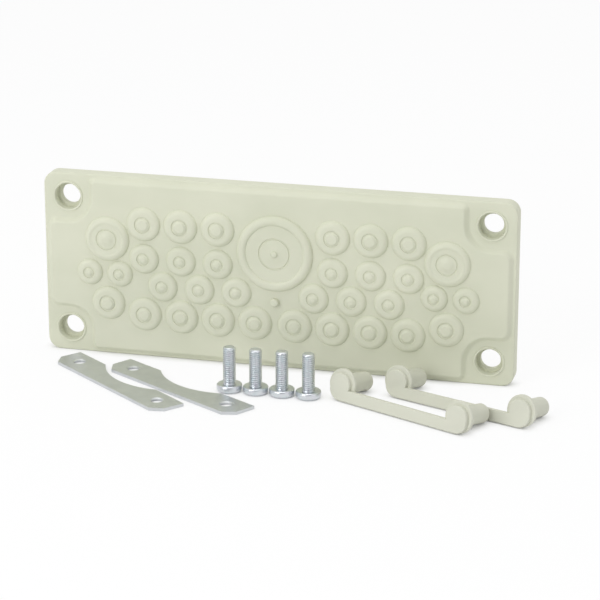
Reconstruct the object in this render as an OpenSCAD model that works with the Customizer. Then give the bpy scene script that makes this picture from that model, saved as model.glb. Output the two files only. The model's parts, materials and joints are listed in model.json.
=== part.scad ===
// Cable entry plate with pierceable membranes, and the fixing set that belongs to it.
// The plate stands on its long lower edge and faces -Y. The origin is the centre of
// the four fixing holes, in the plane of the rear sealing face. +Z is up.

/* [Plate] */
// Distance between the fixing holes along the plate
hole_pitch_x = 205; // [195:1:240]
// Distance between the fixing holes across the plate
hole_pitch_y = 66; // [64:1:80]
// Distance from a fixing hole to the short edge
hole_margin_x = 12; // [11.5:0.5:16]
// Distance from a fixing hole to the long edge
hole_margin_y = 11.5; // [11:0.5:16]
// Radius of the plate's corners
plate_corner_r = 6; // [4:0.5:9]
// Thickness of the plate at its corners
corner_t = 7.3; // [6.5:0.1:10]
// Rounding of the front outer edge
edge_round = 0.8; // [0.4:0.1:0.8]
// Width of the flat sealing rim on the rear
rim_w = 8; // [6:0.5:12]
// Thickness of the front wall behind the raised field
front_wall = 2.6; // [1.8:0.1:3.5]

/* [Raised field] */
// Height of the raised field above the corners
field_h = 2.3; // [1.6:0.1:3]
// Width of the curved slope around the raised field
slope_w = 2.6; // [2.4:0.1:3]
// Flat land between the slope and the outer edge
field_inset = 0.9; // [0.8:0.1:2]
// Clear radius around a fixing hole at the foot of the slope
notch_r = 10.2; // [9:0.1:11]
// Corner radius of the field along the long edges
long_edge_r = 4; // [3.2:0.2:6]
// Corner radius of the field along the short edges
short_edge_r = 6; // [4:0.5:9]

/* [Fixing holes] */
// Diameter of the front counterbore
mouth_d = 12.8; // [12.6:0.1:14]
// Diameter of the rear hole
hole_d = 9.7; // [9.4:0.1:10.5]
// Thickness of the ledge that takes the screw head
ledge_t = 3; // [2:0.1:4]
// Thickness of the round bead along the counterbore's mouth
bead_d = 1.1; // [0.6:0.1:1.6]

/* [Membranes] */
// Diameter of the largest membrane
huge_d = 37; // [32:0.5:38]
// Diameter of the large membranes at the ends
big_d = 22; // [19:0.2:22.4]
// Diameter of the membranes in the top and bottom rows
medium_d = 16.7; // [15.5:0.1:17]
// Diameter of the membranes in the two middle rows
small_d = 14.8; // [13.5:0.1:15]
// Diameter of the smallest membranes
mini_d = 12.9; // [11.5:0.1:13.2]
// Columns of membranes on each half, before the end group
columns = 4; // [3:1:4]
// Free width between the membranes of neighbouring rows
web_gap = 1.3; // [1:0.1:1.8]
// Free width between the membranes of one row
column_gap = 1.5; // [1.2:0.1:2]
// Free width between the two smallest membranes of a pair
mini_gap = 2.1; // [1.4:0.1:2.8]
// Shift of such a pair towards the plate's end
mini_shift = 1.5; // [0.5:0.1:2]
// Extra width between the two middle columns
middle_extra = 1.2; // [0:0.1:2]
// Height of the membrane discs above the field
boss_h = 2; // [1.7:0.1:2.6]
// Radius of the broad arc in which a membrane disc falls to the field
shoulder_r = 2.8; // [2.7:0.1:3.4]
// Thickness of the membranes
membrane_t = 1.2; // [1:0.1:1.6]
// Width of the tear groove
groove_w = 0.9; // [0.6:0.1:1.2]
// Height of the piercing cone in the middle of a membrane
cone_h = 0.7; // [0.4:0.1:1.2]
// Height of the largest membrane's centre above the plate's middle
huge_y = 12.7; // [11:0.1:14]
// Extra height of the largest membrane's rim
huge_rise = 0.3; // [0:0.1:0.8]
// Height of the lone end membranes above the bottom row
end_lift = 4.3; // [3.5:0.1:5.5]
// Depth of the moulding gate's place below the plate's middle
gate_drop = 11.2; // [10:0.1:12]
// Diameter of the moulding gate's stub
gate_d = 4; // [3:0.1:5]

/* [Screws] */
// Thread diameter
screw_d = 6; // [5:0.5:6]
// Length under the head
screw_l = 18; // [14:1:30]
// Number of screws
screw_count = 4; // [2:1:4]
// Diameter of the head
head_d = 12; // [11:0.1:12.2]
// Height of the head
head_h = 3.6; // [3.2:0.1:4.6]

/* [Clamp strips] */
// Thickness of the strips
strip_t = 1.5; // [1.2:0.1:2.5]
// Distance from a tapped hole to the strip's end
strip_end = 11; // [9:0.5:12]
// Distance from the tapped holes to the chamfered side
strip_outer = 8.5; // [8:0.1:10]
// Distance from the tapped holes to the curved side
strip_inner = 7.4; // [6.5:0.1:8]
// Size of the corner chamfers
strip_chamfer = 5; // [3:0.5:7]
// Length of the curved stretch
arc_chord = 43; // [36:1:46]
// Depth of the curve
arc_depth = 7.1; // [4:0.1:8]

/* [Cap straps] */
// Diameter of the cap discs
cap_d = 11; // [10:0.1:13.4]
// Diameter of the sealing collar behind each disc
collar_d = 14.8; // [14:0.1:16]
// Length of the pins
pin_l = 18.5; // [12:0.5:19]
// Height of the discs above their collars
disc_rise = 0.8; // [0.6:0.1:2.5]
// Height of the bar
bar_h = 5.5; // [4:0.1:7]
// Thickness of the collars
collar_t = 1.5; // [1:0.1:2.5]

/* [Layout of the fixing set] */
// Place of the screws' row along the plate
screw_row_x = 6; // [2:0.5:8]
// Distance of the screws' row from the plate's front
screw_row_away = 36.5; // [30:0.5:39]
// Free width between the screw heads
screw_gap = 0.6; // [0.4:0.1:0.8]
// Place of the left strip along the plate
left_strip_x = -66.4; // [-70:0.2:-66]
// Distance of the left strip from the plate's front
left_strip_away = 40.2; // [40:0.2:46]
// Turn of the left strip
left_strip_turn = -38.8; // [-42:0.1:-38]
// Place of the right strip along the plate
right_strip_x = -36.4; // [-37:0.2:-35]
// Distance of the right strip from the plate's front
right_strip_away = 40; // [39:0.2:42]
// Turn of the right strip
right_strip_turn = -32.3; // [-34:0.1:-32]
// Place of the front strap along the plate
front_strap_x = 69.2; // [68:0.2:71]
// Distance of the front strap from the plate's front
front_strap_away = 53; // [52:0.2:58]
// Turn of the front strap
front_strap_turn = -25.2; // [-28:0.1:-24]
// Place of the rear strap along the plate
rear_strap_x = 94.2; // [93:0.2:98]
// Distance of the rear strap from the plate's front
rear_strap_away = 40.6; // [38:0.2:41]
// Turn of the rear strap
rear_strap_turn = -21.6; // [-23:0.1:-20]

/* [Hidden] */
$fn = 96;

plastic = [0.80, 0.81, 0.70];
cap_plastic = [0.78, 0.79, 0.70];
zinc = [0.70, 0.74, 0.76];
strip_steel = [0.66, 0.68, 0.64];

// Overlap that joins stacked shapes, and the reach of cutters past a face
bite = 1;

// Plate outline and heights
hole_x = hole_pitch_x / 2;
hole_y = hole_pitch_y / 2;
plate_w = hole_pitch_x + 2 * hole_margin_x;
plate_h = hole_pitch_y + 2 * hole_margin_y;
field_z = corner_t + field_h;
boss_z = field_z + boss_h;
floor_z = -plate_h / 2;
front_y = -corner_t;

// The field's slope is an ogee of two equal arcs. It starts a little below the
// corner plane, so that it meets that plane at an angle.
slope_sink = 0.15;
slope_rise = field_h + slope_sink;
slope_r = (slope_w * slope_w + slope_rise * slope_rise) / (4 * slope_rise);
tall_w = 2 * (hole_x - notch_r);
tall_h = plate_h - 2 * field_inset;
wide_w = plate_w - 2 * field_inset;
wide_h = 2 * (hole_y - notch_r);

// Rear recess under the field
recess_wall = 4;
recess_r = 3;
recess_z = field_z - front_wall;

// Membrane rows are packed with one web width between the rows
column_pitch = medium_d + column_gap;
first_column = (column_pitch + middle_extra) / 2;
end_column = first_column + columns * column_pitch;
mini_pitch = mini_d + mini_gap;
step_across = (medium_d + small_d) / 2 + web_gap;
row_step_12 = step_across;
row_step_23 = sqrt(pow(small_d + web_gap, 2) - pow(column_pitch / 2, 2));
row_step_34 = sqrt(pow(step_across, 2) - pow(column_pitch / 2, 2));
row1_y = (row_step_12 + row_step_23 + row_step_34) / 2;
row2_y = row1_y - row_step_12;
row3_y = row2_y - row_step_23;
row4_y = row3_y - row_step_34;
big_y = (row1_y + row2_y) / 2;
end_y = row4_y + end_lift;
mini_step = sqrt(pow((medium_d + mini_d) / 2 + web_gap, 2) - pow(mini_pitch / 2 - mini_shift, 2));
mini_y = end_y + mini_step;

// Membrane section: tear grooves, tips of the piercing cones, and the wall around the rear pocket
pocket_wall = 2.2;
medium_groove_d = 7.4;
small_groove_d = 5.6;
mini_groove_d = 5;
big_groove_d = 9.8;
huge_groove_d = 14.8;
medium_tip_d = 4.4;
small_tip_d = 1.8;
mini_tip_d = 1.6;
big_tip_d = 1.8;
huge_rim_w = 4.8;
huge_rim_h = boss_h + huge_rise;
huge_dish_h = 1.2;
huge_rim_outer_r = 2.6;
huge_rim_inner_r = 1.9;
nub_r = 1.7;
nub_h = 0.6;
nub_run = 0.5;
gate_h = 1.6;
gate_round = 0.6;

// Fixing set
thread_cut = 0.9;
thread_minor_d = screw_d - thread_cut;
countersink_rim = 0.8;
countersink_d = screw_d + countersink_rim;
countersink_depth = 0.4;
tip_round = 1.2;
head_round = 1.6;
head_edge_r = 0.9;
cross_w = 1.6;
cross_d = 6.6;
cross_depth = 2.2;
cross_taper = 0.5;
pin_clearance = 0.7;
pin_d = hole_d - pin_clearance;
pin_round = 1.6;
cap_round = 0.5;
bar_round = 0.5;
cap_depth = disc_rise + collar_t;
strip_half_l = hole_y + strip_end;
arc_r = (pow(arc_chord / 2, 2) + pow(arc_depth, 2)) / (2 * arc_depth);

// A cap strap tips back until the round ends of its pins reach the floor
pin_reach = pin_l - pin_round;
pin_rise = (collar_d - pin_d) / 2 + pin_round;
strap_tilt = atan(pin_rise / pin_reach) - asin(pin_round / norm([pin_reach, pin_rise]));

// Places of the loose pieces on the floor
screw_row_y = front_y - screw_row_away;
left_strip_at = [left_strip_x, front_y - left_strip_away];
right_strip_at = [right_strip_x, front_y - right_strip_away];
front_strap_at = [front_strap_x, front_y - front_strap_away];
rear_strap_at = [rear_strap_x, front_y - rear_strap_away];

// Turns a piece that is drawn lying on its back into its standing place
module upright() {
    rotate([90, 0, 0]) children();
}

// Repeats a piece at the four fixing holes
module at_holes() {
    for (sx = [-1, 1], sy = [-1, 1])
        translate([sx * hole_x, sy * hole_y, 0]) children();
}

// Block with round corners: its edge section, x from 0 to r, is revolved at the
// corners and drawn along the sides
module swept_block(w, h, r, t) {
    for (sx = [-1, 1], sy = [-1, 1])
        translate([sx * (w / 2 - r), sy * (h / 2 - r), 0]) rotate_extrude() children();
    rotate([90, 0, 90]) linear_extrude(w - 2 * r, center = true)
        full_section(h - 2 * r, t) children();
    rotate([90, 0, 0]) linear_extrude(h - 2 * r, center = true)
        full_section(w - 2 * r, t) children();
}

// Section across a whole block, from its edge section
module full_section(inner_w, t) {
    translate([-inner_w / 2, 0]) square([inner_w, t]);
    for (side = [0, 1]) mirror([side, 0]) translate([inner_w / 2, 0]) children();
}

// Edge section with a quarter round along the front
module rounded_edge(r, t, round_r) {
    square([r - round_r, t]);
    square([r, t - round_r]);
    translate([r - round_r, t - round_r]) circle(r = round_r);
}

// Edge section of a disc that falls away in one broad arc, which runs on below its foot
module pillow_edge(r, h, round_r) {
    run = sqrt(pow(round_r, 2) - pow(round_r - h, 2));
    translate([0, -bite]) square([r - run, h + bite]);
    intersection() {
        translate([r - run, h - round_r]) circle(r = round_r);
        translate([0, -bite]) square([r + bite, h + bite]);
    }
}

// Edge section of the raised field: an ogee that falls from the field to the corners
module ogee_edge(r) {
    mid = [r - slope_w / 2, slope_rise / 2];
    square([r - slope_w, slope_rise]);
    square([mid.x, mid.y]);
    intersection() {
        translate([r - slope_w, slope_rise - slope_r]) circle(r = slope_r);
        translate([r - slope_w, mid.y]) square([slope_w / 2, slope_rise / 2]);
    }
    difference() {
        translate([mid.x, 0]) square([slope_w / 2, slope_rise / 2]);
        translate([r, slope_r]) circle(r = slope_r);
    }
}

// Hollow corner of the field around one fixing hole
module notch_fill() {
    reach = notch_r + slope_w;
    difference() {
        translate([-reach, -reach, 0]) cube([reach, reach, slope_rise]);
        rotate_extrude() difference() {
            square([reach + bite, slope_rise + bite]);
            translate([notch_r + short_edge_r, 0]) mirror([1, 0]) ogee_edge(short_edge_r);
        }
    }
}

// The cross-shaped field that carries the membranes
module raised_field() {
    translate([0, 0, corner_t - slope_sink]) {
        swept_block(tall_w, tall_h, long_edge_r, slope_rise) ogee_edge(long_edge_r);
        swept_block(wide_w, wide_h, short_edge_r, slope_rise) ogee_edge(short_edge_r);
        for (sx = [0, 1], sy = [0, 1])
            mirror([sx, 0, 0]) mirror([0, sy, 0]) translate([hole_x, hole_y, 0]) notch_fill();
    }
}

// Disc with a round shoulder, a tear groove and a piercing cone
module membrane(d, groove_d, tip_d) {
    cone_r = (groove_d - groove_w) / 2;
    translate([0, 0, field_z]) rotate_extrude() difference() {
        union() {
            pillow_edge(d / 2, boss_h, shoulder_r);
            polygon([[0, 0], [cone_r, boss_h], [tip_d / 2, boss_h + cone_h], [0, boss_h + cone_h]]);
        }
        translate([groove_d / 2, boss_h]) circle(d = groove_w);
    }
}

// The largest membrane: a round rim, a dished floor with a tear groove, and a nub
module huge_membrane() {
    dish_r = huge_d / 2 - huge_rim_w;
    translate([0, huge_y, field_z]) rotate_extrude() {
        difference() {
            pillow_edge(huge_d / 2, huge_rim_h, huge_rim_outer_r);
            translate([0, huge_dish_h]) square([dish_r, huge_rim_h]);
            translate([huge_groove_d / 2, huge_dish_h]) circle(d = groove_w);
            difference() {
                translate([dish_r - bite, huge_dish_h]) square([huge_rim_inner_r + bite, huge_rim_h]);
                translate([dish_r + huge_rim_inner_r, huge_rim_h - huge_rim_inner_r])
                    circle(r = huge_rim_inner_r);
            }
        }
        polygon([[0, 0], [nub_r, huge_dish_h], [nub_r - nub_run, huge_dish_h + nub_h],
                 [0, huge_dish_h + nub_h]]);
    }
}

// Kinds of membrane: diameter, diameter of the groove, diameter of the cone's tip
function medium() = [medium_d, medium_groove_d, medium_tip_d];
function small() = [small_d, small_groove_d, small_tip_d];
function mini() = [mini_d, mini_groove_d, mini_tip_d];
function big() = [big_d, big_groove_d, big_tip_d];

// Membranes on the right half: x, y and kind
function right_half() = concat(
    [for (k = [1:columns - 1]) [first_column + k * column_pitch, row1_y, medium()]],
    [for (k = [1:columns - 1]) [first_column + k * column_pitch, row2_y, small()]],
    [for (k = [1:columns - 1]) [first_column + (k - 0.5) * column_pitch, row3_y, small()]],
    [for (k = [0:columns - 1]) [first_column + k * column_pitch, row4_y, medium()]],
    [for (s = [-1, 1]) [end_column + mini_shift + s * mini_pitch / 2, mini_y, mini()]],
    [[end_column, big_y, big()]],
    [[end_column, end_y, medium()]]
);

// Draws the membranes' own shape on both halves of the plate
module membranes() {
    for (side = [0, 1], m = right_half())
        mirror([side, 0, 0]) translate([m[0], m[1], 0]) membrane(m[2][0], m[2][1], m[2][2]);
    huge_membrane();
}

// Rear pocket behind each membrane, down to the membrane's own thickness
module pockets() {
    for (side = [0, 1], m = right_half())
        mirror([side, 0, 0]) translate([m[0], m[1], recess_z - bite])
            cylinder(d = m[2][0] - 2 * pocket_wall, h = boss_z - membrane_t - recess_z + bite);
    translate([0, huge_y, recess_z - bite])
        cylinder(r = huge_d / 2 - huge_rim_w - pocket_wall / 2,
                 h = field_z + huge_dish_h - membrane_t - recess_z + bite);
}

// Rounded rectangle made of true arcs
module rounded_rect(w, h, r) {
    square([w - 2 * r, h], center = true);
    square([w, h - 2 * r], center = true);
    for (sx = [-1, 1], sy = [-1, 1])
        translate([sx * (w / 2 - r), sy * (h / 2 - r)]) circle(r = r);
}

// Cross-shaped hollow that leaves the sealing rim and the solid corners
module rear_recess() {
    translate([0, 0, -bite]) linear_extrude(recess_z + bite) {
        rounded_rect(tall_w - 2 * recess_wall, plate_h - 2 * rim_w, recess_r);
        rounded_rect(plate_w - 2 * rim_w, wide_h - 2 * recess_wall, recess_r);
    }
}

// Bead around a counterbore's mouth
module hole_bead() {
    translate([0, 0, corner_t]) rotate_extrude()
        translate([(mouth_d + bead_d) / 2, 0]) circle(d = bead_d);
}

// Counterbored fixing hole
module fixing_hole() {
    translate([0, 0, -bite]) cylinder(d = hole_d, h = corner_t + 2 * bite);
    translate([0, 0, ledge_t]) cylinder(d = mouth_d, h = corner_t - ledge_t + bite);
}

// Stub that the moulding gate leaves on the field
module gate_stub() {
    translate([0, -gate_drop, field_z - bite]) rotate_extrude()
        rounded_edge(gate_d / 2, gate_h + bite, gate_round);
}

module entry_plate() {
    color(plastic) upright() difference() {
        union() {
            swept_block(plate_w, plate_h, plate_corner_r, corner_t)
                rounded_edge(plate_corner_r, corner_t, edge_round);
            raised_field();
            membranes();
            gate_stub();
            at_holes() hole_bead();
        }
        rear_recess();
        pockets();
        at_holes() fixing_hole();
    }
}

// Outline of a clamp strip, with its tapped holes on the x axis
module strip_outline() {
    difference() {
        polygon([[strip_chamfer - strip_half_l, -strip_outer], [strip_half_l - strip_chamfer, -strip_outer],
                 [strip_half_l, strip_chamfer - strip_outer], [strip_half_l, strip_inner],
                 [-strip_half_l, strip_inner], [-strip_half_l, strip_chamfer - strip_outer]]);
        translate([0, strip_inner - arc_depth + arc_r]) circle(r = arc_r);
    }
}

// Tapped hole at its core diameter, countersunk from both faces
module tapped_hole() {
    translate([0, 0, -bite]) cylinder(d = thread_minor_d, h = strip_t + 2 * bite);
    translate([0, 0, strip_t - countersink_depth])
        cylinder(d1 = thread_minor_d, d2 = countersink_d, h = countersink_depth);
    cylinder(d1 = countersink_d, d2 = thread_minor_d, h = countersink_depth);
}

// Clamp strip lying flat on the floor
module clamp_strip(at, turn) {
    color(strip_steel) translate([at.x, at.y, floor_z]) rotate([0, 0, turn]) difference() {
        linear_extrude(strip_t) strip_outline();
        for (side = [-1, 1]) translate([side * hole_y, 0, 0]) tapped_hole();
    }
}

module left_clamp_strip() {
    clamp_strip(left_strip_at, left_strip_turn);
}

module right_clamp_strip() {
    clamp_strip(right_strip_at, right_strip_turn);
}

// Cross recess in the head, which rests on the floor
module cross_recess() {
    intersection() {
        translate([0, 0, -bite])
            cylinder(d1 = cross_d + 2 * bite * cross_taper, d2 = cross_d - 2 * cross_depth * cross_taper,
                     h = cross_depth + bite);
        for (turn = [0, 90]) rotate([0, 0, turn])
            translate([-cross_d, -cross_w / 2, -bite]) cube([2 * cross_d, cross_w, cross_depth + bite]);
    }
}

// Section of a screw's head, with a broad round at its crown and a small one at its rim
module head_section() {
    translate([0, head_h / 2]) rounded_edge(head_d / 2, head_h / 2, head_edge_r);
    translate([0, head_h - head_edge_r]) mirror([0, 1])
        rounded_edge(head_d / 2, head_h - head_edge_r, head_round);
}

// Pan head screw standing on its head
module pan_screw() {
    difference() {
        rotate_extrude() {
            head_section();
            rounded_edge(screw_d / 2, head_h + screw_l, tip_round);
        }
        cross_recess();
    }
}

module screws() {
    pitch = head_d + screw_gap;
    first_x = screw_row_x - (screw_count - 1) / 2 * pitch;
    for (k = [0:screw_count - 1])
        color(zinc) translate([first_x + k * pitch, screw_row_y, floor_z]) pan_screw();
}

// One cap lying along +Y: a disc, a sealing collar and a pin
module cap() {
    rotate([-90, 0, 0]) rotate_extrude() {
        translate([0, cap_depth]) mirror([0, 1]) rounded_edge(cap_d / 2, cap_depth, cap_round);
        translate([0, cap_depth]) mirror([0, 1]) rounded_edge(collar_d / 2, collar_t, cap_round);
        translate([0, disc_rise]) rounded_edge(pin_d / 2, collar_t + pin_l, pin_round);
    }
}

// The bar between two caps, drawn along x, as thick as the caps. Its lower edge is level
// with the collars, and each round end has its middle straight below a cap
module strap_bar() {
    translate([0, cap_depth / 2, (bar_h - collar_d) / 2]) {
        rotate([90, 0, 90]) linear_extrude(hole_pitch_y, center = true)
            rounded_rect(cap_depth, bar_h, bar_round);
        for (side = [-1, 1]) translate([side * hole_y, 0, 0]) rotate([90, 0, 0])
            rotate_extrude() intersection() {
                rounded_rect(bar_h, cap_depth, bar_round);
                translate([0, -cap_depth]) square([bar_h, 2 * cap_depth]);
            }
    }
}

// Two caps on one bar. The strap rests on its collars and on the ends of its pins
module cap_strap(at, turn) {
    color(cap_plastic) translate([at.x, at.y, floor_z]) rotate([0, 0, turn])
        translate([0, cap_depth, 0]) rotate([-strap_tilt, 0, 0]) translate([0, -cap_depth, collar_d / 2]) {
            for (side = [-1, 1]) translate([side * hole_y, 0, 0]) cap();
            strap_bar();
        }
}

module front_cap_strap() {
    cap_strap(front_strap_at, front_strap_turn);
}

module rear_cap_strap() {
    cap_strap(rear_strap_at, rear_strap_turn);
}

entry_plate();
left_clamp_strip();
right_clamp_strip();
screws();
front_cap_strap();
rear_cap_strap();
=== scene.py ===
"""Dresses the cable entry plate and its fixing set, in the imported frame, and sets up a plain studio."""
import json
import math

import bmesh
import bpy
from mathutils import Matrix, Vector


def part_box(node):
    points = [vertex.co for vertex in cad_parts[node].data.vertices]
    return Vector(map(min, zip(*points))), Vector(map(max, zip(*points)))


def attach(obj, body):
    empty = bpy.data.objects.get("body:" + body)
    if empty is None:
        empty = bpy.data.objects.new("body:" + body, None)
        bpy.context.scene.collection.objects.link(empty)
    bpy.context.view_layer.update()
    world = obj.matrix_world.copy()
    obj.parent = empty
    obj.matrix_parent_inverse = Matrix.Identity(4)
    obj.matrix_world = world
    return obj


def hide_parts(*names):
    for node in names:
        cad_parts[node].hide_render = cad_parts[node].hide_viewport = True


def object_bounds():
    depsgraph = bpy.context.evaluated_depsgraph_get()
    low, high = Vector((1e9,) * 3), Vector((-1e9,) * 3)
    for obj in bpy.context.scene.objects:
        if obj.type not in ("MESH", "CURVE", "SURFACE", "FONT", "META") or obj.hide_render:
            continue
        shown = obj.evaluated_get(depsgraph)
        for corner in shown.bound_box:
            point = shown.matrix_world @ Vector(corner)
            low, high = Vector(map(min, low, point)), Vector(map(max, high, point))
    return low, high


MM = 0.001

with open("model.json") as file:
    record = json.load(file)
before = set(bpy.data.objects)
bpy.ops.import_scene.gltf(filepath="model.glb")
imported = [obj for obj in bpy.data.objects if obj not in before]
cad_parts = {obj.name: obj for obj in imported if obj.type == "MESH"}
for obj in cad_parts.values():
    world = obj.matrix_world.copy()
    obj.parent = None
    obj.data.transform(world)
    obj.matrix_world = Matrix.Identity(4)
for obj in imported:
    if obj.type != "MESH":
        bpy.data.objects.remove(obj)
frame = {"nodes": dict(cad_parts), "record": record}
cad_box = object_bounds()
nodes = frame["nodes"]
fixing_holes = frame["record"]["mounts"][0]["dims"]

# Camera, fitted to the plate's holes and the pieces on the floor
CAMERA_AT = (0.293, -1.1143, 0.3678)
CAMERA_TILT = 71.7
CAMERA_TURN = 14.26
CAMERA_LENS = 153.0
SENSOR = 36.0

# Plate, as in the part's source
HOLE_X = fixing_holes["spacing_x_mm"] / 2 * MM
HOLE_Z = fixing_holes["spacing_y_mm"] / 2 * MM
HOLE_R = fixing_holes["hole_r_mm"] * MM
PLATE_CORNER = 6.0 * MM
CORNER_T = 7.3 * MM
EDGE_ROUND = 0.8 * MM
RIM_W = 8.0 * MM
RECESS_Z = 7.0 * MM
RECESS_WALL = 4.0 * MM
RECESS_CORNER = 3.0 * MM
FIELD_H = 2.3 * MM
FIELD_INSET = 0.9 * MM
NOTCH_R = 10.2 * MM
LONG_EDGE_R = 4.0 * MM
SHORT_EDGE_R = 6.0 * MM
MOUTH_R = 6.4 * MM
LEDGE_T = 3.0 * MM
BEAD_R = 0.55 * MM
# The slope round the field is a soft wave, and its upper end runs a little onto the flat
SLOPE_W = 3.0 * MM
SLOPE_LEAD = 0.5 * MM
SLOPE_STEPS = 14

# Membranes: diameter, diameter of the tear groove, diameter of the cone's tip, depth of the dish
MEDIUM = (16.7 * MM, 7.4 * MM, 4.4 * MM, 0)
SMALL = (14.8 * MM, 5.6 * MM, 1.8 * MM, 0)
MINI = (12.9 * MM, 5.0 * MM, 1.6 * MM, 0)
BIG = (22.0 * MM, 9.8 * MM, 1.8 * MM, 0.35 * MM)
COLUMNS = 4
WEB_GAP = 1.3 * MM
COLUMN_GAP = 1.5 * MM
MINI_GAP = 2.1 * MM
MINI_SHIFT = 1.5 * MM
MIDDLE_EXTRA = 1.2 * MM
END_LIFT = 4.3 * MM
BOSS_H = 2.0 * MM
SHOULDER_R = 2.8 * MM
MEMBRANE_T = 1.2 * MM
GROOVE_W = 0.9 * MM
CONE_H = 0.7 * MM
POCKET_WALL = 2.2 * MM
# Share of a membrane's radius at which its dish starts and ends
DISH_START = 0.78
DISH_END = 0.64

# Largest membrane and the moulding gate's stub
HUGE_Z = 12.7 * MM
HUGE_R = 18.5 * MM
HUGE_RIM_H = 2.3 * MM
HUGE_RIM_W = 4.8 * MM
HUGE_OUTER_R = 2.6 * MM
HUGE_INNER_R = 1.9 * MM
HUGE_DISH_H = 1.2 * MM
HUGE_GROOVE_R = 7.4 * MM
NUB_R = 1.9 * MM
NUB_TIP_R = 1.1 * MM
NUB_H = 1.1 * MM
GATE_Z = -11.2 * MM
GATE_R = 2.0 * MM
GATE_H = 2.2 * MM
GATE_ROUND = 0.7 * MM

# Screws and strips, as in the part's source
SCREW_COUNT = 4
SCREW_R = 3.0 * MM
HEAD_R = 6.0 * MM
HEAD_H = 3.6 * MM
HEAD_ROUND = 1.6 * MM
HEAD_EDGE = 0.9 * MM
TIP_ROUND = 1.2 * MM
RECESS_W = 1.6 * MM
RECESS_MOUTH = 6.6 * MM
RECESS_DEPTH = 2.2 * MM
RECESS_TAPER = 0.5
RECESS_ARMS = 4
STRIP_T = 1.5 * MM
STRIP_HOLE = 33.0 * MM
LEFT_STRIP = (-66.4 * MM, -47.5 * MM, -38.8)
RIGHT_STRIP = (-36.4 * MM, -47.3 * MM, -32.3)

# Cap straps: place along and in front of the plate, and turn
FRONT_STRAP = (69.2 * MM, -60.3 * MM, -25.2)
REAR_STRAP = (94.2 * MM, -47.9 * MM, -21.6)
CAP_R = 5.5 * MM
COLLAR_R = 7.4 * MM
COLLAR_T = 1.5 * MM
PIN_R = 4.5 * MM
PIN_END = 20.7 * MM
PIN_ROUND = 1.6 * MM
CAP_ROUND = 0.5 * MM
BAR_W = 5.5 * MM
BAR_T = 2.3 * MM
# Height of the discs above their collars
DISC_RISE = 2.0 * MM

# Threads
THREAD_PITCH = 1.0 * MM
THREAD_DEPTH = 0.5 * MM
THREAD_START = 0.7 * MM
# Keeps a tap's root inside the strip's plain bore
TAP_PLAY = 0.06 * MM
# Phases of the thread's profile within one pitch: end of the crest, start and end of the root
CREST_END = 0.28
ROOT_START = 0.50
ROOT_END = 0.78
# Turn of the thread from one screw to the next
SCREW_TURN = math.radians(67)

# Fineness of turned pieces
SEGMENTS = 72
ARC_STEPS = 8
DISC_STEPS = 24
RINGS_PER_PITCH = 16
WELD = 0.002 * MM
SHARP_ANGLE = math.radians(28)
# Upright share of a normal above which a strip's face is level
LEVEL = 0.999

# Moulded plastic: colours, flow marks, patches of gloss and eroded grain
PLATE_DEEP = (0.645, 0.660, 0.520)
PLATE_PALE = (0.690, 0.700, 0.560)
CAP_DEEP = (0.630, 0.635, 0.535)
CAP_PALE = (0.670, 0.675, 0.570)
PLASTIC_SPECULAR = 0.35
PLASTIC_ROUGH = (0.50, 0.64)
FLOW_SIZE = 38 * MM
FLOW_STRETCH = (1, 1, 1.6)
FLOW_SPREAD = (0.32, 0.68)
GLOSS_SIZE = 9 * MM
GRAIN_SIZE = 0.45 * MM
GRAIN_H = 0.03 * MM
GRAIN_STRENGTH = 0.5

# Rolled steel: colours, clouds and rolling lines
STEEL_DEEP = (0.62, 0.64, 0.65)
STEEL_PALE = (0.68, 0.70, 0.71)
STEEL_ROUGH = (0.34, 0.50)
STEEL_CLOUD = 7 * MM
STEEL_SPREAD = (0.3, 0.7)
LINE_SIZE = 0.5 * MM
LINE_STRETCH = (0.03, 1, 1)
LINE_H = 0.01 * MM
LINE_STRENGTH = 0.4

# Bright zinc: tints, their clouds and patches of gloss
ZINC_BLUE = (0.62, 0.68, 0.71)
ZINC_GREY = (0.68, 0.71, 0.73)
ZINC_VIOLET = (0.67, 0.67, 0.72)
ZINC_SPREAD = (0.30, 0.50, 0.70)
ZINC_ROUGH = (0.27, 0.42)
ZINC_CLOUD = 2.5 * MM
ZINC_GLOSS = 1.6 * MM
METAL_SPECULAR = 0.5

# Studio; a lamp has a place, a size in metres and a power in watts
KEY_LAMP = ((-0.85, -1.55, 0.75), 1.0, 13.8)
FILL_LAMP = ((1.5, -1.0, 0.6), 1.0, 2.5)
TOP_LAMP = ((0, -0.35, 1.6), 1.2, 7.5)
FLOOR_HALF = 6.0
FLOOR_DROP = 0.02 * MM
FLOOR_GLOW = 0.88
# Reach of the ambient occlusion that dims the floor's glow: painted contact shade near and under what
# stands on the floor
CONTACT_SHADE_REACH = 5.0 * MM
FLOOR_WHITE = (0.92, 0.92, 0.92, 1)
WHITE = (1, 1, 1, 1)
ROOM_DIM = (0.30, 0.31, 0.33, 1)
ROOM_STRENGTH = 0.82
# Direction's share along +Y at which the room is dim, and at which it is white
ROOM_NEAR = -0.9
ROOM_FAR = 0.3


# Meshes

def thread_depth(phase):
    """Depth of the thread below its crest at a phase from 0 to 1 of one pitch."""
    if phase < CREST_END:
        return 0.0
    if phase < ROOT_START:
        return THREAD_DEPTH * (phase - CREST_END) / (ROOT_START - CREST_END)
    if phase < ROOT_END:
        return THREAD_DEPTH
    return THREAD_DEPTH * (1 - phase) / (1 - ROOT_END)


def thread_radius(height, angle):
    """Radius of a long thread at a height and an angle round its axis."""
    phase = (height / THREAD_PITCH - angle / math.tau) % 1.0
    return SCREW_R - thread_depth(phase)


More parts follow.
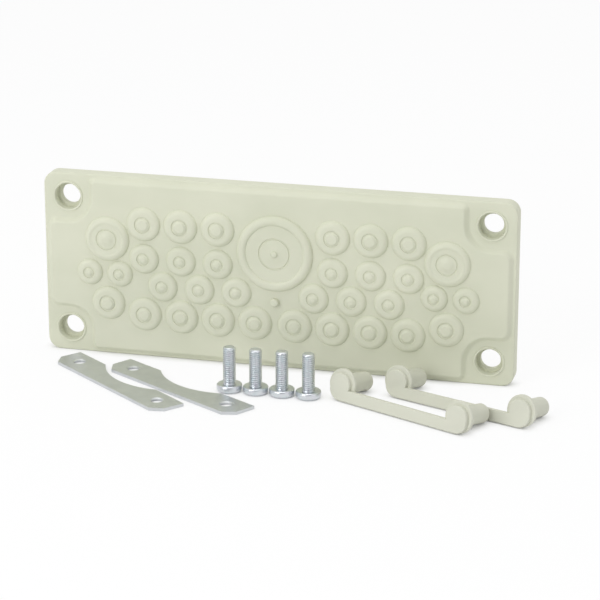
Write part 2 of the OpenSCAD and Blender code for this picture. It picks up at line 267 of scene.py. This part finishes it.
def shank_radius(height, angle, length):
    """Radius of a screw's shank, whose thread runs out at the head and whose tip is round."""
    runout = min(1.0, max(0.0, height / THREAD_START))
    radius = SCREW_R - runout * (SCREW_R - thread_radius(height, angle))
    left = length - height
    if left < TIP_ROUND:
        fall = math.sqrt(max(0.0, TIP_ROUND ** 2 - (TIP_ROUND - left) ** 2))
        radius = min(radius, SCREW_R - TIP_ROUND + fall)
    return radius


def ring(z, radius_at):
    """One ring of a turned piece: its height, and its radius at each step round the axis."""
    return z, [radius_at(math.tau * step / SEGMENTS) for step in range(SEGMENTS)]


def add_turned(bm, x, y, rings):
    """Closed piece round an upright axis, through its rings from the lowest to the highest."""
    loops = []
    for z, radii in rings:
        loop = []
        for step, radius in enumerate(radii):
            angle = math.tau * step / SEGMENTS
            loop.append(bm.verts.new((x + radius * math.cos(angle), y + radius * math.sin(angle), z)))
        loops.append(loop)
    for low, high in zip(loops, loops[1:]):
        for step in range(SEGMENTS):
            following = (step + 1) % SEGMENTS
            bm.faces.new((low[step], low[following], high[following], high[step]))
    bm.faces.new(list(reversed(loops[0])))
    bm.faces.new(loops[-1])


def thread_heights(low, high):
    """Heights of a thread's rings."""
    count = round((high - low) / THREAD_PITCH * RINGS_PER_PITCH)
    return [low + (high - low) * index / count for index in range(count + 1)]


def head_rings(floor):
    """Rings of a screw's head, which stands on its crown."""
    rings = []
    for step in range(ARC_STEPS + 1):
        angle = math.pi / 2 * step / ARC_STEPS
        radius = HEAD_R - HEAD_ROUND * (1 - math.sin(angle))
        rings.append(ring(floor + HEAD_ROUND * (1 - math.cos(angle)), lambda _: radius))
    for step in range(ARC_STEPS + 1):
        angle = math.pi / 2 * step / ARC_STEPS
        radius = HEAD_R - HEAD_EDGE * (1 - math.cos(angle))
        rings.append(ring(floor + HEAD_H - HEAD_EDGE * (1 - math.sin(angle)), lambda _: radius))
    return rings


def add_cross(bm, x, y, floor):
    """Tapered cross that cuts the recess in a screw's head, from just below the floor."""
    half = RECESS_W / 2
    loops = []
    for height in (-RECESS_DEPTH, RECESS_DEPTH):
        arm = RECESS_MOUTH / 2 - RECESS_TAPER * height
        corners = [(arm, -half), (arm, half), (half, half)]
        loop = []
        for _ in range(RECESS_ARMS):
            loop += [bm.verts.new((x + dx, y + dy, floor + height)) for dx, dy in corners]
            corners = [(-dy, dx) for dx, dy in corners]
        loops.append(loop)
    low, high = loops
    for step in range(len(low)):
        following = (step + 1) % len(low)
        bm.faces.new((low[step], low[following], high[following], high[step]))
    bm.faces.new(list(reversed(low)))
    bm.faces.new(high)


def finish_mesh(bm, name, material, flat=()):
    """Object from a bmesh, with smooth faces but for the flat ones, and sharp creases."""
    mesh = bpy.data.meshes.new(name)
    bmesh.ops.recalc_face_normals(bm, faces=bm.faces)
    for face in bm.faces:
        face.smooth = True
    for face in flat:
        face.smooth = False
    bm.to_mesh(mesh)
    bm.free()
    mesh.set_sharp_from_angle(angle=SHARP_ANGLE)
    mesh.materials.append(material)
    made = bpy.data.objects.new(name, mesh)
    bpy.context.scene.collection.objects.link(made)
    return made


def combine(made, others, operation):
    """Joins other shapes to an object or cuts them out of it, and removes the others."""
    for other in others:
        step = made.modifiers.new("step", "BOOLEAN")
        step.object = other
        step.operation = operation
        step.solver = "EXACT"
    evaluated = made.evaluated_get(bpy.context.evaluated_depsgraph_get())
    mesh = bpy.data.meshes.new_from_object(evaluated)
    made.modifiers.clear()
    made.data = mesh
    mesh.set_sharp_from_angle(angle=SHARP_ANGLE)
    for other in others:
        bpy.data.objects.remove(other)


def arc(x, z, radius, start, end, steps=ARC_STEPS):
    """Points of an arc round a centre, from one angle to another in degrees."""
    angles = [math.radians(start + (end - start) * step / steps) for step in range(steps + 1)]
    return [(x + radius * math.cos(angle), z + radius * math.sin(angle)) for angle in angles]


def circle(x, z, radius):
    """Points of a full circle."""
    angles = [math.tau * step / SEGMENTS for step in range(SEGMENTS)]
    return [(x + radius * math.cos(angle), z + radius * math.sin(angle)) for angle in angles]


def four_ways(quarter):
    """Closed outline from the points of its upper right quarter, which run anticlockwise."""
    upper_left = [(-x, z) for x, z in reversed(quarter)]
    lower_left = [(-x, -z) for x, z in quarter]
    lower_right = [(x, -z) for x, z in reversed(quarter)]
    return quarter + upper_left + lower_left + lower_right


def pillow(radius, height, round_r):
    """Profile of a disc's edge from its foot to its top: one broad arc."""
    run = math.sqrt(round_r ** 2 - (round_r - height) ** 2)
    foot = math.degrees(math.asin((round_r - height) / round_r))
    return arc(radius - run, height - round_r, round_r, foot, 90)


def groove(radius, height):
    """Profile of a tear groove, from its outer edge to its inner one."""
    return arc(radius, height, GROOVE_W / 2, 0, -180)


def wave(start_r, end_r, start_h, end_h, steps=ARC_STEPS):
    """Profile of a soft step between two radii and heights, after its first point."""
    points = []
    for step in range(1, steps + 1):
        share = step / steps
        soft = (1 - math.cos(math.pi * share)) / 2
        points.append((start_r + (end_r - start_r) * share, start_h + (end_h - start_h) * soft))
    return points


def membrane_profile(diameter, groove_d, tip_d, dish):
    """Profile of a membrane above the field, from its foot to its tip."""
    radius = diameter / 2
    points = pillow(radius, BOSS_H, SHOULDER_R)
    if dish:
        points.append((DISH_START * radius, BOSS_H))
        points += wave(DISH_START * radius, DISH_END * radius, BOSS_H, BOSS_H - dish)
    floor = BOSS_H - dish
    points += groove(groove_d / 2, floor)
    return points + wave(points[-1][0], tip_d / 2, floor, BOSS_H + CONE_H)


def huge_profile():
    """Profile of the largest membrane: a round rim, a dished floor with a tear groove, and a nub."""
    dish_r = HUGE_R - HUGE_RIM_W
    inner_z = HUGE_RIM_H - HUGE_INNER_R
    inner_end = 180 - math.degrees(math.asin((HUGE_DISH_H - inner_z) / HUGE_INNER_R))
    points = pillow(HUGE_R, HUGE_RIM_H, HUGE_OUTER_R)
    points += arc(dish_r + HUGE_INNER_R, inner_z, HUGE_INNER_R, 90, inner_end)
    points += groove(HUGE_GROOVE_R, HUGE_DISH_H)
    points.append((NUB_R, HUGE_DISH_H))
    return points + wave(NUB_R, NUB_TIP_R, HUGE_DISH_H, HUGE_DISH_H + NUB_H)


def gate_profile():
    """Profile of the stub that the moulding gate leaves."""
    return [(GATE_R, 0)] + arc(GATE_R - GATE_ROUND, GATE_H - GATE_ROUND, GATE_ROUND, 0, 90)


def bead_profile():
    """Profile of a fixing hole, from the foot of its bead to the ledge for the screw's head."""
    return arc(MOUTH_R + BEAD_R, 0, BEAD_R, 0, 180) + [(MOUTH_R, LEDGE_T - CORNER_T)]


def membrane_places():
    """Place and kind of each membrane but the largest, in rows with one web between them."""
    column = MEDIUM[0] + COLUMN_GAP
    first = (column + MIDDLE_EXTRA) / 2
    end = first + COLUMNS * column
    across = (MEDIUM[0] + SMALL[0]) / 2 + WEB_GAP
    step_23 = math.sqrt((SMALL[0] + WEB_GAP) ** 2 - (column / 2) ** 2)
    step_34 = math.sqrt(across ** 2 - (column / 2) ** 2)
    row_1 = (across + step_23 + step_34) / 2
    row_2 = row_1 - across
    row_3 = row_2 - step_23
    row_4 = row_3 - step_34
    end_z = row_4 + END_LIFT
    mini_half = (MINI[0] + MINI_GAP) / 2
    to_mini = (MEDIUM[0] + MINI[0]) / 2 + WEB_GAP
    mini_z = end_z + math.sqrt(to_mini ** 2 - (mini_half - MINI_SHIFT) ** 2)
    half = [(first, row_4, MEDIUM)]
    for index in range(1, COLUMNS):
        x = first + index * column
        half += [(x, row_1, MEDIUM), (x, row_2, SMALL)]
        half += [(x - column / 2, row_3, SMALL), (x, row_4, MEDIUM)]
    half += [(end + MINI_SHIFT - mini_half, mini_z, MINI), (end + MINI_SHIFT + mini_half, mini_z, MINI)]
    half += [(end, (row_1 + row_2) / 2, BIG), (end, end_z, MEDIUM)]
    return half + [(-x, z, kind) for x, z, kind in half]


class Moulding:
    """Closed mesh of a moulding that faces -Y, from loops of points at heights above its rear."""

    def __init__(self):
        self.bm = bmesh.new()
        self.flat = []

    def loop(self, outline, height):
        """New loop of corners along an outline."""
        return [self.bm.verts.new((x, -height, z)) for x, z in outline]

    def climb(self, start, steps):
        """Walls from a loop through the next ones, each an outline and a height; gives the last loop."""
        for outline, height in steps:
            following = self.loop(outline, height)
            for index, corner in enumerate(start):
                before = index - 1
                self.bm.faces.new((start[before], corner, following[index], following[before]))
            start = following
        return start

    def turned(self, x, z, base, profile):
        """Walls round an axis through a profile's points; gives the first and the last loop."""
        steps = [(circle(x, z, radius), base + height) for radius, height in profile]
        first = self.loop(*steps[0])
        return first, self.climb(first, steps[1:])

    def close(self, loop):
        """Flat end inside one loop."""
        self.flat.append(self.bm.faces.new(loop))

    def plane(self, *loops):
        """Flat face inside the first loop and outside the others."""
        edges = []
        for loop in loops:
            edges += [self.bm.edges.get((loop[index - 1], corner)) for index, corner in enumerate(loop)]
        filled = bmesh.ops.triangle_fill(self.bm, use_beauty=True, edges=edges, normal=(0, -1, 0))
        self.flat += [item for item in filled["geom"] if isinstance(item, bmesh.types.BMFace)]


def plate_outline(inset):
    """The plate's outline, drawn in by an inset."""
    _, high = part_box("entry_plate")
    return four_ways(arc(high.x - PLATE_CORNER, high.z - PLATE_CORNER, PLATE_CORNER - inset, 0, 90))


def cross_outline(side, notch, short_r, long_r):
    """Outline that keeps a distance from the plate's sides and, in its hollow corners, from the holes."""
    _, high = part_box("entry_plate")
    quarter = arc(high.x - side - short_r, HOLE_Z - notch - short_r, short_r, 0, 90)
    quarter += arc(HOLE_X, HOLE_Z, notch, 270, 180)
    quarter += arc(HOLE_X - notch - long_r, high.z - side - long_r, long_r, 0, 90)
    return four_ways(quarter)


def field_outline(inset):
    """Outline of the raised field, drawn in by an inset."""
    return cross_outline(FIELD_INSET + inset, NOTCH_R + inset, SHORT_EDGE_R - inset, LONG_EDGE_R - inset)


def make_plate(material):
    """The entry plate, as the solid has it, with soft slopes and finely turned membranes."""
    plate = Moulding()
    field_z = CORNER_T + FIELD_H
    membranes = membrane_places()
    rear = plate.loop(plate_outline(0), 0)
    edge = arc(0, CORNER_T - EDGE_ROUND, EDGE_ROUND, 0, 90)
    brink = plate.climb(rear, [(plate_outline(EDGE_ROUND - run), height) for run, height in edge])
    foot = plate.loop(field_outline(0), CORNER_T)
    slope = wave(0, SLOPE_W, CORNER_T, field_z, SLOPE_STEPS) + [(SLOPE_W + SLOPE_LEAD, field_z)]
    field = plate.climb(foot, [(field_outline(inset), height) for inset, height in slope])

    rear_holes = []
    mouths = []
    for x in (-HOLE_X, HOLE_X):
        for z in (-HOLE_Z, HOLE_Z):
            mouth, ledge = plate.turned(x, z, CORNER_T, bead_profile())
            mouths.append(mouth)
            bore = circle(x, z, HOLE_R)
            rear_holes.append(plate.climb(ledge, [(bore, LEDGE_T), (bore, 0)]))
    plate.plane(brink, foot, *mouths)

    feet = []
    raised = [(x, z, membrane_profile(*kind)) for x, z, kind in membranes]
    raised += [(0, HUGE_Z, huge_profile()), (0, GATE_Z, gate_profile())]
    for x, z, profile in raised:
        start, tip = plate.turned(x, z, field_z, profile)
        feet.append(start)
        plate.close(tip)
    plate.plane(field, *feet)

    recess = cross_outline(RIM_W, NOTCH_R + RECESS_WALL, RECESS_CORNER, RECESS_CORNER)
    recess_edge = plate.loop(recess, 0)
    recess_floor = plate.climb(recess_edge, [(recess, RECESS_Z)])
    plate.plane(rear, recess_edge, *rear_holes)
    hollows = [(x, z, kind[0] / 2 - POCKET_WALL, field_z + BOSS_H) for x, z, kind in membranes]
    hollows.append((0, HUGE_Z, HUGE_R - HUGE_RIM_W - POCKET_WALL / 2, field_z + HUGE_DISH_H))
    pockets = []
    for x, z, radius, top in hollows:
        pocket, end = plate.turned(x, z, 0, [(radius, RECESS_Z), (radius, top - MEMBRANE_T)])
        pockets.append(pocket)
        plate.close(end)
    plate.plane(recess_floor, *pockets)

    made = finish_mesh(plate.bm, "plate", material, plate.flat)
    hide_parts("entry_plate")
    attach(made, "root")


def cap_profile():
    """Profile of a collar and its pin, from the front of the collar to the pin's end."""
    collar_end = -DISC_RISE - COLLAR_T
    points = arc(COLLAR_R - CAP_ROUND, -DISC_RISE - CAP_ROUND, CAP_ROUND, 90, 0)
    points += [(COLLAR_R, collar_end), (PIN_R, collar_end)]
    return points + arc(PIN_R - PIN_ROUND, PIN_ROUND - PIN_END, PIN_ROUND, 0, -90)


def strap_outline(inset):
    """Outline of a strap's discs, drawn down to the bar between them, all drawn in by an inset."""
    cap_r = CAP_R - inset
    drop = COLLAR_R - CAP_R
    meet = math.degrees(math.asin((COLLAR_R - BAR_W + inset) / cap_r))
    right = arc(HOLE_Z, -drop, cap_r, 270, 360) + arc(HOLE_Z, 0, cap_r, 0, 180 + meet, DISC_STEPS)
    left = arc(-HOLE_Z, 0, cap_r, -meet, 180, DISC_STEPS) + arc(-HOLE_Z, -drop, cap_r, 180, 270)
    return right + left


def make_strap(node, name, strap, material):
    """A cap strap, which rests on its collars and on the ends of its pins."""
    layer = Moulding()
    edge = arc(0, -CAP_ROUND, CAP_ROUND, 90, 0)
    front = layer.loop(strap_outline(CAP_ROUND), 0)
    layer.close(front)
    steps = [(strap_outline(CAP_ROUND - run), height) for run, height in edge[1:]]
    layer.close(layer.climb(front, steps + [(strap_outline(0), -BAR_T)]))
    made = finish_mesh(layer.bm, name, material, layer.flat)
    pins = []
    for side in (-HOLE_Z, HOLE_Z):
        pin = Moulding()
        for end in pin.turned(side, 0, 0, cap_profile()):
            pin.close(end)
        pins.append(finish_mesh(pin.bm, "pin", material, pin.flat))
    combine(made, pins, "UNION")

    x, y, turn = strap
    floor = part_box(node)[0].z
    cap_depth = DISC_RISE + COLLAR_T
    reach = PIN_END - cap_depth - PIN_ROUND
    rise = COLLAR_R - PIN_R + PIN_ROUND
    tilt = math.atan2(rise, reach) - math.asin(PIN_ROUND / math.hypot(reach, rise))
    place = Matrix.Translation((x, y, floor)) @ Matrix.Rotation(math.radians(turn), 4, "Z")
    place = place @ Matrix.Translation((0, cap_depth, 0)) @ Matrix.Rotation(-tilt, 4, "X")
    made.data.transform(place @ Matrix.Translation((0, -cap_depth, COLLAR_R)))
    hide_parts(node)
    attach(made, "root")


def make_screw(number, material):
    """One screw of the row, as the solid has it, with a thread on its shank."""
    low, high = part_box("screws")
    pitch = (high.x - low.x - 2 * HEAD_R) / (SCREW_COUNT - 1)
    x = low.x + HEAD_R + number * pitch
    y = (low.y + high.y) / 2
    head_top = low.z + HEAD_H
    length = high.z - head_top
    turn = number * SCREW_TURN
    rings = head_rings(low.z)
    for height in thread_heights(0, length):
        rings.append(ring(head_top + height, lambda angle: shank_radius(height, angle + turn, length)))
    bm = bmesh.new()
    add_turned(bm, x, y, rings)
    screw = finish_mesh(bm, "screw_%d" % (number + 1), material)
    bm = bmesh.new()
    add_cross(bm, x, y, low.z)
    combine(screw, [finish_mesh(bm, "recess", material)], "DIFFERENCE")
    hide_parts("screws")
    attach(screw, "root")


def make_strip(node, name, strip, material):
    """A clamp strip with its threads cut into the solid's plain bores."""
    x, y, turn = strip
    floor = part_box(node)[0].z
    bm = bmesh.new()
    bm.from_mesh(nodes[node].data)
    bmesh.ops.remove_doubles(bm, verts=bm.verts, dist=WELD)
    made = finish_mesh(bm, name, material)
    taps = []
    for side in (-STRIP_HOLE, STRIP_HOLE):
        hole_x = x + side * math.cos(math.radians(turn))
        hole_y = y + side * math.sin(math.radians(turn))
        rings = []
        for height in thread_heights(-THREAD_PITCH, STRIP_T + THREAD_PITCH):
            rings.append(ring(floor + height, lambda angle: thread_radius(height, angle) - TAP_PLAY))
        bm = bmesh.new()
        add_turned(bm, hole_x, hole_y, rings)
        taps.append(finish_mesh(bm, "tap", material))
    combine(made, taps, "DIFFERENCE")
    for face in made.data.polygons:
        face.use_smooth = abs(face.normal.z) < LEVEL
    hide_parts(node)
    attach(made, "root")


# Materials

class Finish:
    """A material with short ways to add the nodes that this scene uses."""

    def __init__(self, name, metallic, specular):
        self.material = bpy.data.materials.new(name)
        self.material.use_nodes = True
        self.tree = self.material.node_tree
        self.shader = self.tree.nodes["Principled BSDF"]
        self.shader.inputs["Metallic"].default_value = metallic
        self.shader.inputs["Specular IOR Level"].default_value = specular
        self.place = self.tree.nodes.new("ShaderNodeTexCoord").outputs["Object"]

    def stretched(self, scale, turn=0.0):
        """Coordinates along a piece that lies turned about the vertical, stretched."""
        turned = self.tree.nodes.new("ShaderNodeMapping")
        turned.inputs["Rotation"].default_value = (0, 0, math.radians(-turn))
        self.tree.links.new(self.place, turned.inputs["Vector"])
        mapping = self.tree.nodes.new("ShaderNodeMapping")
        mapping.inputs["Scale"].default_value = scale
        self.tree.links.new(turned.outputs["Vector"], mapping.inputs["Vector"])
        return mapping.outputs["Vector"]

    def noise(self, size, detail, place=None):
        """Noise whose features are about that large, in metres."""
        node = self.tree.nodes.new("ShaderNodeTexNoise")
        node.inputs["Scale"].default_value = 1 / size
        node.inputs["Detail"].default_value = detail
        self.tree.links.new(place or self.place, node.inputs["Vector"])
        return node.outputs["Fac"]

    def colours(self, value, stops):
        """Base colour that runs through the stops, each a position and a colour."""
        stops = list(stops)
        ramp = self.tree.nodes.new("ShaderNodeValToRGB")
        elements = ramp.color_ramp.elements
        while len(elements) < len(stops):
            elements.new(0.5)
        for element, (position, colour) in zip(elements, stops):
            element.position = position
            element.color = (*colour, 1)
        self.tree.links.new(value, ramp.inputs["Fac"])
        self.tree.links.new(ramp.outputs["Color"], self.shader.inputs["Base Color"])

    def roughness(self, value, low, high):
        """Roughness between two levels."""
        spread = self.tree.nodes.new("ShaderNodeMapRange")
        spread.inputs["To Min"].default_value = low
        spread.inputs["To Max"].default_value = high
        self.tree.links.new(value, spread.inputs["Value"])
        self.tree.links.new(spread.outputs["Result"], self.shader.inputs["Roughness"])

    def bump(self, value, height, strength):
        """Fine relief of that height, in metres."""
        node = self.tree.nodes.new("ShaderNodeBump")
        node.inputs["Strength"].default_value = strength
        node.inputs["Distance"].default_value = height
        self.tree.links.new(value, node.inputs["Height"])
        self.tree.links.new(node.outputs["Normal"], self.shader.inputs["Normal"])


def moulded_plastic(name, deep, pale):
    """Soft matt moulding: faint flow marks in its colour and a fine eroded grain."""
    finish = Finish(name, metallic=0, specular=PLASTIC_SPECULAR)
    flow = finish.noise(FLOW_SIZE, detail=3, place=finish.stretched(FLOW_STRETCH))
    finish.colours(flow, zip(FLOW_SPREAD, (deep, pale)))
    finish.roughness(finish.noise(GLOSS_SIZE, detail=2), *PLASTIC_ROUGH)
    finish.bump(finish.noise(GRAIN_SIZE, detail=4), GRAIN_H, GRAIN_STRENGTH)
    return finish.material


def rolled_steel(name, turn):
    """Zinc plated strip with fine rolling lines along its length."""
    finish = Finish(name, metallic=1, specular=METAL_SPECULAR)
    lines = finish.noise(LINE_SIZE, detail=3, place=finish.stretched(LINE_STRETCH, turn))
    cloud = finish.noise(STEEL_CLOUD, detail=4)
    finish.colours(cloud, zip(STEEL_SPREAD, (STEEL_DEEP, STEEL_PALE)))
    finish.roughness(lines, *STEEL_ROUGH)
    finish.bump(lines, LINE_H, LINE_STRENGTH)
    return finish.material


def bright_zinc(name):
    """Bluish passivated zinc with faint grey and violet tints."""
    finish = Finish(name, metallic=1, specular=METAL_SPECULAR)
    cloud = finish.noise(ZINC_CLOUD, detail=3)
    finish.colours(cloud, zip(ZINC_SPREAD, (ZINC_BLUE, ZINC_GREY, ZINC_VIOLET)))
    finish.roughness(finish.noise(ZINC_GLOSS, detail=2), *ZINC_ROUGH)
    return finish.material


# Studio

def ray_is(tree, first, *others):
    """1 for rays of any of the named kinds, 0 for all the others."""
    path = tree.nodes.new("ShaderNodeLightPath")
    value = path.outputs[first]
    for kind in others:
        join = tree.nodes.new("ShaderNodeMath")
        join.operation = "MAXIMUM"
        tree.links.new(value, join.inputs[0])
        tree.links.new(path.outputs[kind], join.inputs[1])
        value = join.outputs["Value"]
    return value


def make_floor():
    """Plain white floor that keeps a faint shadow of what stands on it, with painted shade from ambient
    occlusion, darkest where they touch.
    """
    low, _ = cad_box
    z = low.z - FLOOR_DROP
    mesh = bpy.data.meshes.new("floor")
    corners = [(-1, -1), (1, -1), (1, 1), (-1, 1)]
    mesh.from_pydata([(FLOOR_HALF * x, FLOOR_HALF * y, z) for x, y in corners], [], [(0, 1, 2, 3)])
    material = bpy.data.materials.new("floor_white")
    material.use_nodes = True
    tree = material.node_tree
    shader = tree.nodes["Principled BSDF"]
    shader.inputs["Base Color"].default_value = FLOOR_WHITE
    shader.inputs["Roughness"].default_value = 1
    shader.inputs["Specular IOR Level"].default_value = 0
    glow = tree.nodes.new("ShaderNodeEmission")
    glow.inputs["Color"].default_value = WHITE
    # Ambient occlusion lowers the floor's glow near, under and between the pieces: painted shade, added
    # to the faint real shadow in the floor's lit share
    painted_contact_shade = tree.nodes.new("ShaderNodeAmbientOcclusion")
    painted_contact_shade.inputs["Distance"].default_value = CONTACT_SHADE_REACH
    level = tree.nodes.new("ShaderNodeMath")
    level.operation = "MULTIPLY"
    level.inputs[1].default_value = FLOOR_GLOW
    tree.links.new(painted_contact_shade.outputs["AO"], level.inputs[0])
    amount = tree.nodes.new("ShaderNodeMath")
    amount.operation = "MULTIPLY"
    seen = ray_is(tree, "Is Camera Ray", "Is Glossy Ray", "Is Transmission Ray")
    tree.links.new(seen, amount.inputs[0])
    tree.links.new(level.outputs["Value"], amount.inputs[1])
    mix = tree.nodes.new("ShaderNodeMixShader")
    tree.links.new(amount.outputs["Value"], mix.inputs["Fac"])
    tree.links.new(shader.outputs["BSDF"], mix.inputs[1])
    tree.links.new(glow.outputs["Emission"], mix.inputs[2])
    tree.links.new(mix.outputs["Shader"], tree.nodes["Material Output"].inputs["Surface"])
    mesh.materials.append(material)
    floor = bpy.data.objects.new("floor", mesh)
    bpy.context.scene.collection.objects.link(floor)


def make_world():
    """Room that is white behind the object and dimmer towards the camera's side."""
    world = bpy.data.worlds.new("studio")
    bpy.context.scene.world = world
    world.use_nodes = True
    tree = world.node_tree
    ambient = tree.nodes["Background"]
    strength = tree.nodes.new("ShaderNodeMapRange")
    strength.inputs["To Min"].default_value = ROOM_STRENGTH
    strength.inputs["To Max"].default_value = 1
    tree.links.new(ray_is(tree, "Is Glossy Ray", "Is Transmission Ray"), strength.inputs["Value"])
    tree.links.new(strength.outputs["Result"], ambient.inputs["Strength"])
    split = tree.nodes.new("ShaderNodeSeparateXYZ")
    tree.links.new(tree.nodes.new("ShaderNodeTexCoord").outputs["Generated"], split.inputs["Vector"])
    ramp = tree.nodes.new("ShaderNodeValToRGB")
    ramp.color_ramp.elements[0].color = ROOM_DIM
    ramp.color_ramp.elements[1].color = WHITE
    depth = tree.nodes.new("ShaderNodeMapRange")
    depth.inputs["From Min"].default_value = ROOM_NEAR
    depth.inputs["From Max"].default_value = ROOM_FAR
    tree.links.new(split.outputs["Y"], depth.inputs["Value"])
    tree.links.new(depth.outputs["Result"], ramp.inputs["Fac"])
    tree.links.new(ramp.outputs["Color"], ambient.inputs["Color"])
    backdrop = tree.nodes.new("ShaderNodeBackground")
    backdrop.inputs["Color"].default_value = WHITE
    mix = tree.nodes.new("ShaderNodeMixShader")
    tree.links.new(ray_is(tree, "Is Camera Ray"), mix.inputs["Fac"])
    tree.links.new(ambient.outputs["Background"], mix.inputs[1])
    tree.links.new(backdrop.outputs["Background"], mix.inputs[2])
    tree.links.new(mix.outputs["Shader"], tree.nodes["World Output"].inputs["Surface"])


def add_lamp(name, place, size, power):
    """Square soft lamp at a place, aimed at the middle of the plate."""
    lamp = bpy.data.lights.new(name, "AREA")
    lamp.size = size
    lamp.energy = power
    made = bpy.data.objects.new(name, lamp)
    made.location = place
    made.rotation_mode = "QUATERNION"
    made.rotation_quaternion = (-Vector(place)).to_track_quat("-Z", "Y")
    bpy.context.scene.collection.objects.link(made)


def make_camera():
    """Camera at the photograph's viewing angle."""
    data = bpy.data.cameras.new("camera")
    data.sensor_width = SENSOR
    data.lens = CAMERA_LENS
    camera = bpy.data.objects.new("camera", data)
    camera.location = CAMERA_AT
    camera.rotation_euler = (math.radians(CAMERA_TILT), 0, math.radians(CAMERA_TURN))
    bpy.context.scene.collection.objects.link(camera)
    bpy.context.scene.camera = camera


make_camera()
make_floor()
make_world()
add_lamp("key", *KEY_LAMP)
add_lamp("fill", *FILL_LAMP)
add_lamp("top", *TOP_LAMP)

make_plate(moulded_plastic("plate_plastic", PLATE_DEEP, PLATE_PALE))
cap_plastic = moulded_plastic("cap_plastic", CAP_DEEP, CAP_PALE)
make_strap("front_cap_strap", "front_strap", FRONT_STRAP, cap_plastic)
make_strap("rear_cap_strap", "rear_strap", REAR_STRAP, cap_plastic)
left_steel = rolled_steel("left_strip_steel", LEFT_STRIP[2])
right_steel = rolled_steel("right_strip_steel", RIGHT_STRIP[2])
make_strip("left_clamp_strip", "left_strip", LEFT_STRIP, left_steel)
make_strip("right_clamp_strip", "right_strip", RIGHT_STRIP, right_steel)
zinc = bright_zinc("screw_zinc")
for number in range(SCREW_COUNT):
    make_screw(number, zinc)

bpy.context.scene.view_settings.view_transform = "Standard"
